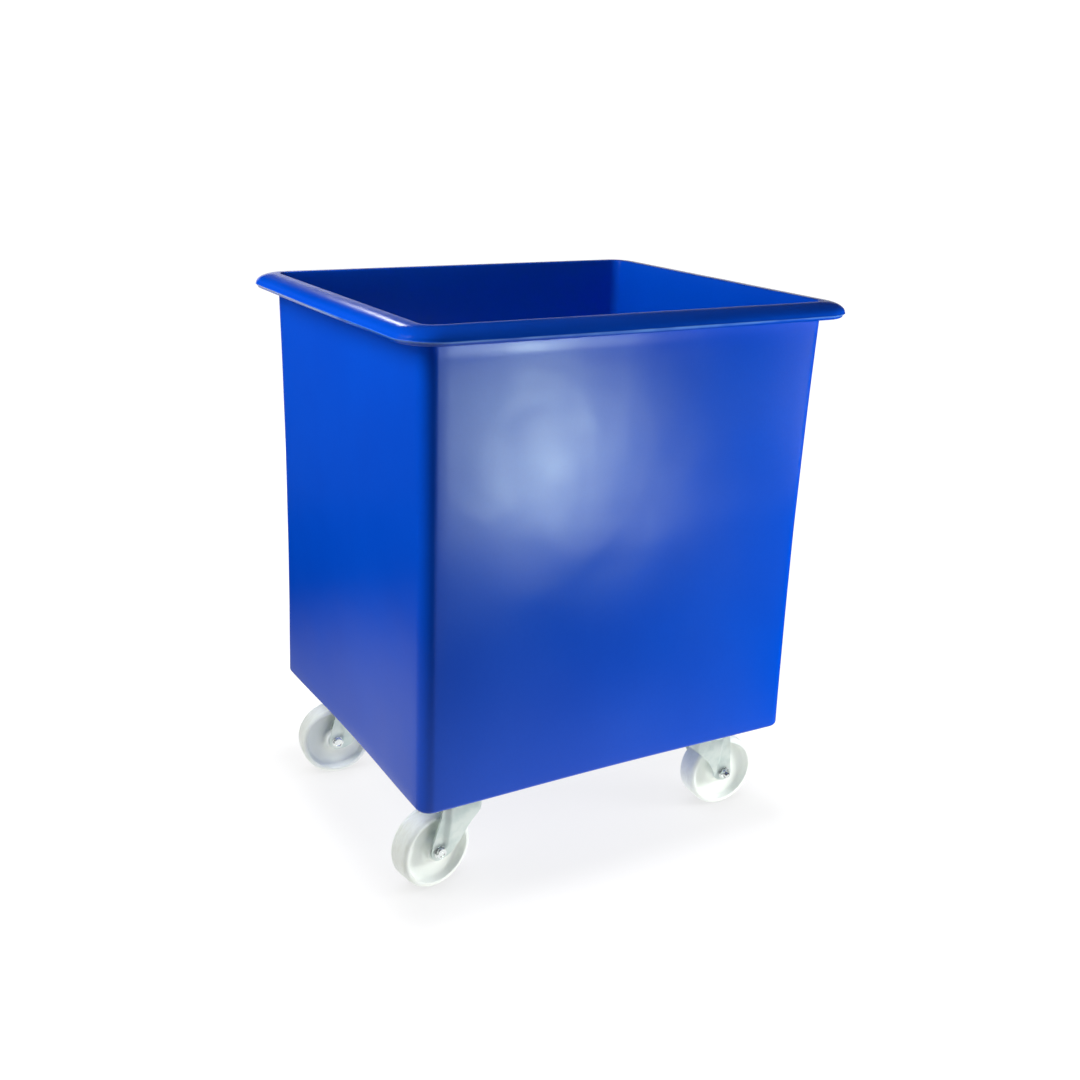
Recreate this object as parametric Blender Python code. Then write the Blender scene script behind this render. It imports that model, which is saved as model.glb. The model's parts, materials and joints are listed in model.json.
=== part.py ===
"""Open plastic tub on four swivel castors, for Blender 4.5. Metres, +Z up.

The origin is on the floor, below the middle of the tub. X runs along the long side and Y along the
short side. The tub is one moulding with a solid bead for a rim. Each castor is a top plate bolted
through the tub's floor, a kingpin, a pressed fork with its ball race, and a nylon wheel on a roller
bearing. Castors are named as seen by someone facing the side at -Y.
"""

from math import asin, cos, pi, radians, sin, sqrt

import bmesh
import bpy
from mathutils import Matrix, Vector

# ---------------------------------------------------------------- driving dimensions
BODY_BOTTOM_X = 0.2665  # half length of the tub at its floor
BODY_BOTTOM_Y = 0.2264  # half width of the tub at its floor
BODY_TOP_X = 0.2671  # half length just under the rim
BODY_TOP_Y = 0.2224  # half width just under the rim
UNDERSIDE_Z = 0.1368
RIM_Z = 0.6813  # underside of the rim
TOTAL_HEIGHT = 0.6991
WALL = 0.0055
CORNER_R = 0.0175  # upright corners, outer face
WALL_BOW = 0.0023  # how far the walls draw in at mid height
EDGE_R = 0.0055  # edge between the walls and the underside
RIM_REACH = 0.0293  # how far the rim stands out from the wall
RIM_NOSE_R = 0.0045

WHEEL_R = 0.050
WHEEL_HALF_WIDTH = 0.0158
TRAIL = 0.0368  # kingpin axis to axle
AXLE_Z = WHEEL_R
KINGPIN_X = 0.185
KINGPIN_Y = 0.1524
TRAIL_ANGLE = {  # direction from kingpin to axle, degrees about +Z from +X
    "front_left": -170.5,
    "front_right": -4.0,
    "rear_left": 172.0,
    "rear_right": -11.0,
}

GAP = 0.0003  # clearance between pieces that touch
PLATE_HALF_X = 0.0525
PLATE_HALF_Y = 0.0425
PLATE_THICK = 0.003
BOLT_SPACING_X = 0.080
BOLT_SPACING_Y = 0.060
BOLT_R = 0.004
HOLE_R = BOLT_R + GAP
HEX_R = 0.0075  # across the corners of an M8 nut or head
NUT_H = 0.0065
HEAD_H = 0.0053
FASTENER_SIDES = 12

SHEET = 0.0025  # fork sheet
CROWN_THICK = 0.003
BACK_LEAN = 0.060  # height over the axle at which the legs' rear edge would pass over it
CROWN_Z = 0.1115  # underside of the fork's crown, clear of the wheel's top
HEAD_R = 0.034  # swivel head, outside
RACE_OUTER_R = 0.031
RACE_INNER_R = 0.020
BALL_RING_R = 0.026
BALL_R = 0.0024
RACE_TOP_Z = 0.1227
KINGPIN_R = 0.006

LEG_Y = 0.0180  # middle of the fork sheet at the axle
LEG_SPLAY = 0.011  # how much wider the fork is at the crown, each side
LEG_FLARE = 0.005  # extra width of its front part, each side
BOSS_R = 0.012
FRONT_BIAS = 0.17  # the leg on the bolt-head side reaches further forward than the other

SLEEVE_R = 0.0063
BEARING_R = 0.0092
HUB_HALF = LEG_Y - SHEET / 2 - GAP

ROUND = 24  # sides of wheels and rings
CORNER_STEPS = 6

PLATE_BOTTOM = UNDERSIDE_Z - GAP - PLATE_THICK
FLOOR_TOP = UNDERSIDE_Z + WALL


# ---------------------------------------------------------------- materials
def material(name, colour, roughness, metallic=0.0):
    made = bpy.data.materials.new(name)
    made.use_nodes = True
    shader = made.node_tree.nodes["Principled BSDF"]
    shader.inputs["Base Color"].default_value = (*colour, 1.0)
    shader.inputs["Roughness"].default_value = roughness
    shader.inputs["Metallic"].default_value = metallic
    made.diffuse_color = (*colour, 1.0)
    return made


def make_materials():
    return {
        "tub": material("blue_polyethylene", (0.010, 0.070, 0.520), 0.32),
        "nylon": material("white_nylon", (0.780, 0.810, 0.770), 0.35),
        "zinc": material("zinc_plate", (0.620, 0.660, 0.640), 0.38, 1.0),
        "steel": material("bright_steel", (0.700, 0.710, 0.720), 0.22, 1.0),
    }


# ---------------------------------------------------------------- mesh helpers
def mesh_of(name, build):
    """A mesh from a function that fills a bmesh, with its normals turned outward."""
    bm = bmesh.new()
    build(bm)
    bmesh.ops.recalc_face_normals(bm, faces=bm.faces)
    mesh = bpy.data.meshes.new(name)
    bm.to_mesh(mesh)
    bm.free()
    mesh.shade_smooth()
    mesh.set_sharp_from_angle(angle=radians(35))
    return mesh


def add_object(name, mesh, look, parent=None):
    made = bpy.data.objects.new(name, mesh)
    bpy.context.scene.collection.objects.link(made)
    if not mesh.materials:
        mesh.materials.append(look)
    made.parent = parent
    return made


def add_cutter(name, build):
    made = bpy.data.objects.new(name, mesh_of(name, build))
    bpy.context.scene.collection.objects.link(made)
    made.hide_render = True
    made.display_type = "WIRE"
    return made


def combine(target, other, operation):
    modifier = target.modifiers.new(f"{operation.lower()}_{other.name}", "BOOLEAN")
    modifier.operation = operation
    modifier.solver = "EXACT"
    modifier.object = other


def loft(bm, rings, closed=False):
    """Skins rings of equally many points, and caps both ends unless the rings close on themselves."""
    rows = [[bm.verts.new(point) for point in ring] for ring in rings]
    pairs = list(zip(rows, rows[1:]))
    if closed:
        pairs.append((rows[-1], rows[0]))
    for low, high in pairs:
        count = len(low)
        for i in range(count):
            j = (i + 1) % count
            bm.faces.new((low[i], low[j], high[j], high[i]))
    if not closed:
        bm.faces.new(rows[0])
        bm.faces.new(rows[-1])


def circle(radius, z, sides, turn=0.0):
    step = 2 * pi / sides
    return [Vector((radius * cos(turn + k * step), radius * sin(turn + k * step), z)) for k in range(sides)]


def hexagon(corner_radius, z):
    """A hexagon of FASTENER_SIDES points: its corners and the middles of its sides."""
    flat = corner_radius * cos(pi / 6)
    step = 2 * pi / FASTENER_SIDES
    radii = [corner_radius if k % 2 == 0 else flat for k in range(FASTENER_SIDES)]
    return [Vector((r * cos(k * step), r * sin(k * step), z)) for k, r in enumerate(radii)]


def ring_solid(bm, profile, sides, turn=0.0):
    """A closed ring turned about Z from a closed outline of (radius, height)."""
    loft(bm, [circle(radius, height, sides, turn) for radius, height in profile], closed=True)


def lay_along_y(bm):
    """Turns what was modelled along +Z so that it runs along +Y."""
    bmesh.ops.rotate(bm, verts=bm.verts, cent=(0, 0, 0), matrix=Matrix.Rotation(-pi / 2, 3, "X"))


def smooth(value):
    value = min(max(value, 0.0), 1.0)
    return value * value * (3 - 2 * value)


# ---------------------------------------------------------------- tub
def rounded_rectangle(half_x, half_y, radius, z):
    """Anticlockwise outline with quarter-round corners."""
    points = []
    for sign_x, sign_y, start in ((1, 1, 0), (-1, 1, 90), (-1, -1, 180), (1, -1, 270)):
        for k in range(CORNER_STEPS + 1):
            angle = radians(start + 90 * k / CORNER_STEPS)
            x = sign_x * (half_x - radius) + radius * cos(angle)
            y = sign_y * (half_y - radius) + radius * sin(angle)
            points.append(Vector((x, y, z)))
    return points


def wall_ring(offset, z):
    """The tub's outline at a height, moved outward by offset."""
    up = min(max((z - UNDERSIDE_Z) / (RIM_Z - UNDERSIDE_Z), 0.0), 1.0)
    bow = 4 * WALL_BOW * up * (1 - up)
    half_x = BODY_BOTTOM_X + (BODY_TOP_X - BODY_BOTTOM_X) * up - bow + offset
    half_y = BODY_BOTTOM_Y + (BODY_TOP_Y - BODY_BOTTOM_Y) * up - bow + offset
    return rounded_rectangle(half_x, half_y, CORNER_R + offset, z)


def rim_section():
    """The rim's outline as (distance out from the wall, height over RIM_Z), from its underside round to inside."""
    crest = TOTAL_HEIGHT - RIM_Z
    nose_x = RIM_REACH - RIM_NOSE_R
    points = [(0.0, 0.0)]
    for degrees in (-90, -50, -10, 30, 65):
        angle = radians(degrees)
        points.append((nose_x + RIM_NOSE_R * cos(angle), RIM_NOSE_R * (1 + sin(angle))))
    points += [(0.0185, 0.0133), (0.0090, 0.0165), (0.0022, crest), (-0.0028, 0.0163)]
    return points


def tub_rings():
    floor_patch = (0.120, 0.090, 0.010)
    rings = [rounded_rectangle(*floor_patch, UNDERSIDE_Z)]
    for degrees in (0, 30, 60, 90):
        angle = radians(degrees)
        inward = EDGE_R * (1 - sin(angle))
        rings.append(wall_ring(-inward, UNDERSIDE_Z + EDGE_R * (1 - cos(angle))))
    levels = 4
    wall_low = UNDERSIDE_Z + EDGE_R
    rings += [wall_ring(0.0, wall_low + (RIM_Z - wall_low) * k / levels) for k in range(1, levels)]
    rings += [wall_ring(out, RIM_Z + up) for out, up in rim_section()]
    inner_low = FLOOR_TOP + EDGE_R
    rings += [wall_ring(-WALL, RIM_Z + (inner_low - RIM_Z) * k / levels) for k in range(levels + 1)]
    for degrees in (60, 30, 0):
        angle = radians(degrees)
        inward = WALL + EDGE_R * (1 - sin(angle))
        rings.append(wall_ring(-inward, FLOOR_TOP + EDGE_R * (1 - cos(angle))))
    rings.append(rounded_rectangle(*floor_patch, FLOOR_TOP))
    return rings


def make_tub(looks, bolt_places):
    tub = add_object("tub", mesh_of("tub", lambda bm: loft(bm, tub_rings())), looks["tub"])

    def holes(bm):
        for x, y in bolt_places:
            rings = [circle(HOLE_R, z, FASTENER_SIDES) for z in (UNDERSIDE_Z - WALL, FLOOR_TOP + WALL)]
            loft(bm, [[point + Vector((x, y, 0)) for point in ring] for ring in rings])

    combine(tub, add_cutter("floor_hole_cutter", holes), "DIFFERENCE")


# ---------------------------------------------------------------- castor pieces fixed to the tub
def plate_offsets():
    return [(sx * BOLT_SPACING_X / 2, sy * BOLT_SPACING_Y / 2) for sy in (-1, 1) for sx in (-1, 1)]


def plate_shape(bm):
    corner = 0.010
    outline = []
    for sign_x, sign_y, start in ((1, 1, 0), (-1, 1, 90), (-1, -1, 180), (1, -1, 270)):
        for degrees in (0, 45, 90):
            angle = radians(start + degrees)
            x = sign_x * (PLATE_HALF_X - corner) + corner * cos(angle)
            y = sign_y * (PLATE_HALF_Y - corner) + corner * sin(angle)
            outline.append((x, y))
    loft(bm, [[Vector((x, y, z)) for x, y in outline] for z in (PLATE_BOTTOM, PLATE_BOTTOM + PLATE_THICK)])


def raceway_shape(bm):
    """The raceway pressed down out of the plate, over the ball race."""
    low = RACE_TOP_Z + 2 * GAP + 2 * BALL_R
    high = PLATE_BOTTOM + PLATE_THICK / 2
    lip = 0.0025
    ring_solid(
        bm,
        [
            (RACE_INNER_R, low),
            (RACE_OUTER_R - lip, low),
            (RACE_OUTER_R + 0.001, low + lip),
            (RACE_OUTER_R + 0.001, high),
            (RACE_INNER_R, high),
        ],
        ROUND,
    )


def plate_hole_shape(bm):
    depth = 0.004
    for x, y in [(0.0, 0.0), *plate_offsets()]:
        radius = KINGPIN_R + GAP if x == y == 0.0 else HOLE_R
        rings = [circle(radius, z, FASTENER_SIDES) for z in (PLATE_BOTTOM - depth, UNDERSIDE_Z + depth)]
        loft(bm, [[point + Vector((x, y, 0)) for point in ring] for ring in rings])


def kingpin_shape(bm):
    head_top = CROWN_Z - GAP - 0.0036 - GAP
    head_r = 0.0105
    profile = [
        (head_r - 0.002, head_top - 0.004),
        (head_r, head_top - 0.0025),
        (head_r, head_top),
        (KINGPIN_R, head_top),
        (KINGPIN_R, UNDERSIDE_Z - 2 * GAP),
    ]
    loft(bm, [circle(radius, z, 16) for radius, z in profile])


def lower_cup_shape(bm):
    top = CROWN_Z - GAP
    bottom = top - 0.0036
    bore = KINGPIN_R + GAP
    ring_solid(bm, [(bore, bottom), (0.0165, bottom), (0.0195, bottom + 0.0015), (0.0195, top), (bore, top)], 20)


def plate_bolt_shape(bm):
    """A cup-head bolt down through the floor and the plate, with its nut run up under the plate."""
    nut_top = PLATE_BOTTOM - GAP
    seat = FLOOR_TOP + GAP
    rings = [
        circle(BOLT_R - 0.0006, nut_top - NUT_H - 0.002, FASTENER_SIDES),
        circle(BOLT_R - 0.0002, nut_top - NUT_H, FASTENER_SIDES),
        hexagon(HEX_R, nut_top - NUT_H),
        hexagon(HEX_R, nut_top),
        circle(BOLT_R - 0.0002, nut_top, FASTENER_SIDES),
        circle(BOLT_R - 0.0002, seat, FASTENER_SIDES),
        circle(0.0105, seat, FASTENER_SIDES),
        circle(0.0100, seat + 0.0018, FASTENER_SIDES),
        circle(0.0055, seat + 0.0045, FASTENER_SIDES),
    ]
    loft(bm, rings)


# ---------------------------------------------------------------- castor pieces that swivel
def front_edge(height, side):
    """How far ahead of the axle the leg's front edge lies, at a height over the axle."""
    knots = ((-12, 0), (-10.5, 8), (-8, 12.5), (-3, 18), (4, 22), (12, 26), (20, 30.5), (30, 38), (40, 46))
    knots += ((46, 54), (50, 60), (58, 66))
    mm = height * 1000
    for (low, start), (high, end) in zip(knots, knots[1:]):
        if mm <= high:
            reach = start + (end - start) * max(mm - low, 0) / (high - low)
            break
    else:
        reach = knots[-1][1]
    bias = FRONT_BIAS * (1 - smooth((mm + 12) / 60))
    return reach / 1000 * (1 + side * bias)


def back_edge(height):
    """How far behind the axle the leg's rear edge lies."""
    if height < 0:
        return sqrt(max(BOSS_R**2 - height**2, 0.0))
    return BOSS_R * (1 - height / BACK_LEAN)


def leg_y(x, z):
    """Distance of the sheet's middle from the wheel's plane: flat at the axle, then widening up and forward."""
    ahead = TRAIL - x
    height = z - AXLE_Z
    out = LEG_Y + LEG_SPLAY * smooth((height - 0.004) / 0.050) + LEG_FLARE * smooth((ahead - 0.009) / 0.024)
    if x < 0:
        out = min(out, sqrt(max((HEAD_R - SHEET / 2) ** 2 - x * x, 0.0)))
    return out


def leg_shape(side):
    """One fork leg: a sheet over a grid of rows from the boss up into the crown."""
    top = CROWN_Z + 0.002 - AXLE_Z
    heights = [-0.0118, -0.0108, -0.008, -0.003, 0.004, 0.012, 0.020, 0.030, 0.040, 0.047, 0.055, top]
    across = 7

    def build(bm):
        skins = []
        for face in (-1, 1):
            grid = []
            for height in heights:
                start = TRAIL - front_edge(height, side)
                end = TRAIL + back_edge(height)
                row = []
                for k in range(across):
                    x = start + (end - start) * k / (across - 1)
                    z = AXLE_Z + height
                    row.append(bm.verts.new((x, side * (leg_y(x, z) + face * SHEET / 2), z)))
                grid.append(row)
            skins.append(grid)
        inner, outer = skins
        for grid in skins:
            for low, high in zip(grid, grid[1:]):
                for k in range(across - 1):
                    bm.faces.new((low[k], low[k + 1], high[k + 1], high[k]))
        for row in (0, -1):
            for k in range(across - 1):
                bm.faces.new((inner[row][k], inner[row][k + 1], outer[row][k + 1], outer[row][k]))
        for k in (0, -1):
            for row in range(len(heights) - 1):
                bm.faces.new((inner[row][k], inner[row + 1][k], outer[row + 1][k], outer[row][k]))

    return build


def crown_shape(bm):
    """The crown over the wheel: round about the kingpin, running back to the axle's line."""
    back_half = LEG_Y + LEG_SPLAY
    back_x = TRAIL - 0.0015
    turn = asin(back_half / HEAD_R)
    steps = 14
    outline = [(back_x, -back_half), (back_x, back_half)]
    for k in range(steps + 1):
        angle = turn + (2 * pi - 2 * turn) * k / steps
        outline.append((HEAD_R * cos(angle), HEAD_R * sin(angle)))
    loft(bm, [[Vector((x, y, z)) for x, y in outline] for z in (CROWN_Z, CROWN_Z + CROWN_THICK)])


def head_shape(bm):
    """The race pressed up out of the crown, with a rounded shoulder."""
    low = CROWN_Z + CROWN_THICK / 2
    shoulder = 0.003
    ring_solid(
        bm,
        [
            (RACE_INNER_R, low),
            (RACE_OUTER_R + 0.001, low),
            (RACE_OUTER_R + 0.001, RACE_TOP_Z - shoulder),
            (RACE_OUTER_R - shoulder, RACE_TOP_Z),
            (RACE_INNER_R, RACE_TOP_Z),
        ],
        ROUND,
    )


def kingpin_hole_shape(bm):
    loft(bm, [circle(KINGPIN_R + GAP, z, 16) for z in (CROWN_Z - 0.010, CROWN_Z + 0.010)])


def axle_hole_shape(bm):
    loft(bm, [circle(HOLE_R, y, FASTENER_SIDES) for y in (-0.030, 0.030)])
    lay_along_y(bm)
    bmesh.ops.translate(bm, verts=bm.verts, vec=(TRAIL, 0, AXLE_Z))


def ball_race_shape(bm):
    middle = RACE_TOP_Z + GAP + BALL_R
    sides = 6
    profile = []
    for k in range(sides):
        angle = 2 * pi * k / sides + pi / 2
        profile.append((BALL_RING_R + BALL_R * cos(angle), middle + BALL_R * sin(angle)))
    ring_solid(bm, profile, 20)


def axle_bolt_shape(bm):
    """The bolt along +Y, its head on the +Y leg and its end standing past the nut."""
    seat = LEG_Y + SHEET / 2 + GAP
    end = -(seat + NUT_H + 0.0045)
    rings = [
        circle(BOLT_R - 0.0010, end, FASTENER_SIDES),
        circle(BOLT_R - 0.0002, end + 0.001, FASTENER_SIDES),
        circle(BOLT_R - 0.0002, seat, FASTENER_SIDES),
        hexagon(HEX_R, seat),
        hexagon(HEX_R, seat + HEAD_H - 0.0008),
        circle(HEX_R * cos(pi / 6) - 0.0004, seat + HEAD_H, FASTENER_SIDES),
    ]
    loft(bm, rings)
    lay_along_y(bm)


def axle_nut_shape(bm):
    seat = LEG_Y + SHEET / 2 + GAP
    bore = [circle(BOLT_R + GAP, -y, FASTENER_SIDES) for y in (seat, seat + NUT_H)]
    outside = [hexagon(HEX_R, -y) for y in (seat + NUT_H, seat)]
    loft(bm, bore + outside, closed=True)
    lay_along_y(bm)


def axle_sleeve_shape(bm):
    bore = BOLT_R + GAP
    ring_solid(bm, [(bore, -HUB_HALF), (SLEEVE_R, -HUB_HALF), (SLEEVE_R, HUB_HALF), (bore, HUB_HALF)], 16)
    lay_along_y(bm)


# ---------------------------------------------------------------- wheel
def wheel_shape(bm):
    """Nylon wheel: tread, rounded shoulders, and a dish on each face down to the web and hub."""
    hub_half = HUB_HALF - GAP
    edge = WHEEL_HALF_WIDTH
    face = [
        (BEARING_R + GAP, hub_half),
        (0.0140, hub_half),
        (0.0160, 0.0085),
        (0.0225, 0.0050),
        (0.0330, 0.0046),
        (0.0400, 0.0064),
        (0.0445, edge - 0.0040),
        (0.0472, edge),
        (0.0491, edge - 0.0017),
        (WHEEL_R, edge - 0.0050),
    ]
    profile = face + [(radius, -y) for radius, y in reversed(face)]
    flats = 1 / cos(pi / ROUND)  # the tread's flats, not its corners, touch the floor
    profile = [(radius * flats if radius > 0.04 else radius, y) for radius, y in profile]
    ring_solid(bm, profile, ROUND, turn=pi / ROUND)
    lay_along_y(bm)


def roller_bearing_shape(bm):
    bore = SLEEVE_R + GAP
    half = HUB_HALF - 0.001
    ring_solid(bm, [(bore, -half), (BEARING_R, -half), (BEARING_R, half), (bore, half)], 16)
    lay_along_y(bm)


# ---------------------------------------------------------------- assembly
def castor_places():
    places = {}
    for name in TRAIL_ANGLE:
        x = -KINGPIN_X if name.endswith("left") else KINGPIN_X
        y = -KINGPIN_Y if name.startswith("front") else KINGPIN_Y
        places[name] = (x, y)
    return places


def shared_meshes():
    shapes = {
        "top_plate": plate_shape,
        "kingpin": kingpin_shape,
        "lower_cup": lower_cup_shape,
        "plate_bolt": plate_bolt_shape,
        "crown": crown_shape,
        "ball_race": ball_race_shape,
        "axle_bolt": axle_bolt_shape,
        "axle_nut": axle_nut_shape,
        "axle_sleeve": axle_sleeve_shape,
        "wheel": wheel_shape,
        "roller_bearing": roller_bearing_shape,
    }
    return {name: mesh_of(name, build) for name, build in shapes.items()}


def add_empty(name, location, turn=0.0, parent=None):
    made = bpy.data.objects.new(name, None)
    bpy.context.scene.collection.objects.link(made)
    made.empty_display_size = 0.03
    made.location = location
    made.rotation_euler = (0, 0, turn)
    made.parent = parent
    return made


def place_helpers(name, parent, shapes):
    """This castor's own helpers for the Booleans, which move with it."""
    made = {}
    for key, build in shapes.items():
        made[key] = add_cutter(f"{name}_{key}_helper", build)
        made[key].parent = parent
    return made


def make_castor(name, place, meshes, looks):
    seat = add_empty(f"{name}_seat", (*place, 0))
    swivel = add_empty(f"{name}_swivel_axis", (*place, 0), radians(TRAIL_ANGLE[name]))
    axle = add_empty(f"{name}_axle_axis", (TRAIL, 0, AXLE_Z), parent=swivel)
    fixed = place_helpers(name, seat, {"raceway": raceway_shape, "plate_holes": plate_hole_shape})
    turning = place_helpers(
        name,
        swivel,
        {
            "head": head_shape,
            "kingpin_hole": kingpin_hole_shape,
            "axle_hole": axle_hole_shape,
            "left_leg": leg_shape(1),
            "right_leg": leg_shape(-1),
        },
    )

    plate = add_object(f"{name}_top_plate", meshes["top_plate"], looks["zinc"], seat)
    combine(plate, fixed["raceway"], "UNION")
    combine(plate, fixed["plate_holes"], "DIFFERENCE")
    add_object(f"{name}_kingpin", meshes["kingpin"], looks["zinc"], seat)
    add_object(f"{name}_lower_cup", meshes["lower_cup"], looks["zinc"], seat)
    for number, (x, y) in enumerate(plate_offsets(), start=1):
        bolt = add_object(f"{name}_plate_bolt_{number}", meshes["plate_bolt"], looks["steel"], seat)
        bolt.location = (x, y, 0)

    fork = add_object(f"{name}_fork", meshes["crown"], looks["zinc"], swivel)
    for key in ("head", "left_leg", "right_leg"):
        combine(fork, turning[key], "UNION")
    for key in ("kingpin_hole", "axle_hole"):
        combine(fork, turning[key], "DIFFERENCE")
    add_object(f"{name}_ball_race", meshes["ball_race"], looks["steel"], swivel)
    for piece in ("axle_bolt", "axle_nut", "axle_sleeve"):
        add_object(f"{name}_{piece}", meshes[piece], looks["steel"], axle)

    add_object(f"{name}_wheel", meshes["wheel"], looks["nylon"], axle)
    add_object(f"{name}_roller_bearing", meshes["roller_bearing"], looks["steel"], axle)


def main():
    for old in list(bpy.data.objects):
        bpy.data.objects.remove(old, do_unlink=True)
    looks = make_materials()
    meshes = shared_meshes()
    places = castor_places()
    bolts = [(x + dx, y + dy) for x, y in places.values() for dx, dy in plate_offsets()]
    make_tub(looks, bolts)
    for name, place in places.items():
        make_castor(name, place, meshes, looks)


main()
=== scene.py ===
"""Looks for an open moulded tub on four swivel castors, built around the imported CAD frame.

Every castor piece is modelled once, about its own kingpin: the origin is on the floor under the
kingpin, X runs towards the axle and Y along it. It is then placed four times from the frame's joints.
"""

import json
from math import asin, atan2, cos, pi, radians, sin, sqrt

import bmesh
import bpy
from mathutils import Matrix, Vector, noise


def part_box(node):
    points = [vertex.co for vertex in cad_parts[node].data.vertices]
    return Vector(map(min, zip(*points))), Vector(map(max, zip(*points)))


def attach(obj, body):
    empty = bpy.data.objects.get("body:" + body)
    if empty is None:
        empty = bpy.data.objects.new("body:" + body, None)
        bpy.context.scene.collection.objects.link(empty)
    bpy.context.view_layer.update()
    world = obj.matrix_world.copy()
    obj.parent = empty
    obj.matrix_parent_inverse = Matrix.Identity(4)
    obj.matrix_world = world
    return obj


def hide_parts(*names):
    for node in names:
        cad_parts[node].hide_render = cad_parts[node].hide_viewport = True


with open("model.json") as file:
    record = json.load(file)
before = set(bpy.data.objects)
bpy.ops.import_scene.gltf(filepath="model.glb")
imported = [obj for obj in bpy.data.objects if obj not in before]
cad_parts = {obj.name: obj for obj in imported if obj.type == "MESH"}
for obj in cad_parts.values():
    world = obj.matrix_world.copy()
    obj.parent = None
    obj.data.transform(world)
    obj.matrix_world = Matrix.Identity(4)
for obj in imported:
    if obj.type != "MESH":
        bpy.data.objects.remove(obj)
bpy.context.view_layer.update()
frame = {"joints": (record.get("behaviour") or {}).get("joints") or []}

CASTORS = ("front_left", "front_right", "rear_left", "rear_right")
joints = {joint["name"]: joint for joint in frame["joints"]}

# ---------------------------------------------------------------- sizes, in metres
TUB_LOW, TUB_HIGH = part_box("tub")
UNDERSIDE_Z = TUB_LOW.z
TOTAL_HEIGHT = TUB_HIGH.z
RIM_HEIGHT = 0.0178
RIM_Z = TOTAL_HEIGHT - RIM_HEIGHT
RIM_REACH = 0.0293
TOP_X = TUB_HIGH.x - RIM_REACH
TOP_Y = TUB_HIGH.y - RIM_REACH
BOTTOM_X = TOP_X - 0.0006
BOTTOM_Y = TOP_Y + 0.0040
WALL = 0.0055
CORNER_R = 0.0175
EDGE_R = 0.0055
WALL_BOW = 0.0023  # how far the walls draw in at mid height
FLOOR_DRAW = 0.0030  # how far they draw in at the middle of each side, at the floor
LIP_HEIGHTS = (RIM_Z + 0.0058, RIM_Z + 0.0048)  # the painted highlight along the rim's lower nose fades in between these
RIM_BULGE = 0.0010  # how far the rim's sides swell at their middles
RIPPLE = 0.00035  # unevenness of the moulding

GAP = 0.0003
AXLE_Z = joints["front_left_wheel_spin"]["pos_m"][2]
WHEEL_R = AXLE_Z
PLATE_LOW, PLATE_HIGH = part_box("front_left_top_plate")
PLATE_THICK = 0.003
PLATE_BOTTOM = PLATE_HIGH.z - PLATE_THICK
FLOOR_TOP = UNDERSIDE_Z + WALL
SHEET = 0.0025
CROWN_Z = 0.1115
CROWN_THICK = 0.003
HEAD_R = 0.034
RACE_R = 0.032
RACE_TOP_Z = 0.1227
BALL_RING_R = 0.026
BALL_R = 0.0024
KINGPIN_R = 0.006
LEG_Y = 0.0180
BOSS_R = 0.012
BOLT_R = 0.004
HEX_R = 0.0075


def castor_frame(name):
    """(matrix that places a castor's own space in the row frame, trail from kingpin to axle)."""
    kingpin = Vector(joints[f"{name}_swivel_turn"]["pos_m"])
    wheel = joints[f"{name}_wheel_spin"]
    axis = Vector(wheel["axis"])
    turn = atan2(-axis.x, axis.y)
    trail = (Vector(wheel["pos_m"]).xy - kingpin.xy).length
    return Matrix.Translation((kingpin.x, kingpin.y, 0)) @ Matrix.Rotation(turn, 4, "Z"), trail


TRAIL = castor_frame("front_left")[1]


# ---------------------------------------------------------------- mesh helpers
def new_mesh(name, build, sharp=40):
    """A smooth-shaded mesh from a function that fills a bmesh."""
    bm = bmesh.new()
    build(bm)
    bmesh.ops.recalc_face_normals(bm, faces=bm.faces)
    mesh = bpy.data.meshes.new(name)
    bm.to_mesh(mesh)
    bm.free()
    mesh.shade_smooth()
    mesh.set_sharp_from_angle(angle=radians(sharp))
    return mesh


def linked(name, data):
    made = bpy.data.objects.new(name, data)
    bpy.context.scene.collection.objects.link(made)
    return made


def united_mesh(name, builders, cutters, sharp=40):
    """One closed mesh: the builders' shapes united, and the cutters' shapes taken away."""
    shapes = [linked(name, new_mesh(name, build, sharp)) for build in (*builders, *cutters)]
    base = shapes[0]
    for number, shape in enumerate(shapes[1:], start=1):
        join = base.modifiers.new("join", "BOOLEAN")
        join.operation = "UNION" if number < len(builders) else "DIFFERENCE"
        join.solver = "EXACT"
        join.object = shape
    mesh = bpy.data.meshes.new_from_object(base.evaluated_get(bpy.context.evaluated_depsgraph_get()))
    for shape in shapes:
        bpy.data.objects.remove(shape)
    mesh.shade_smooth()
    mesh.set_sharp_from_angle(angle=radians(sharp))
    return mesh


def add_piece(name, mesh, look, body, node, place=Matrix()):
    """A finished piece in the row frame that rides on a body and stands for one CAD node."""
    piece = linked(name, mesh.copy())
    piece.data.materials.append(look)
    piece.matrix_world = place
    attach(piece, body)
    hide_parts(node)


def loft(bm, rings, closed=False):
    """Skins rings of equally many points, and caps both ends unless the rings close on themselves."""
    rows = [[bm.verts.new(point) for point in ring] for ring in rings]
    pairs = list(zip(rows, rows[1:]))
    if closed:
        pairs.append((rows[-1], rows[0]))
    for low, high in pairs:
        for i in range(len(low)):
            j = (i + 1) % len(low)
            bm.faces.new((low[i], low[j], high[j], high[i]))
    if not closed:
        bm.faces.new(rows[0])
        bm.faces.new(rows[-1])


def circle(radius, z, sides=64, centre=(0, 0)):
    step = 2 * pi / sides
    return [
        Vector((centre[0] + radius * cos(k * step), centre[1] + radius * sin(k * step), z))
        for k in range(sides)
    ]


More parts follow.
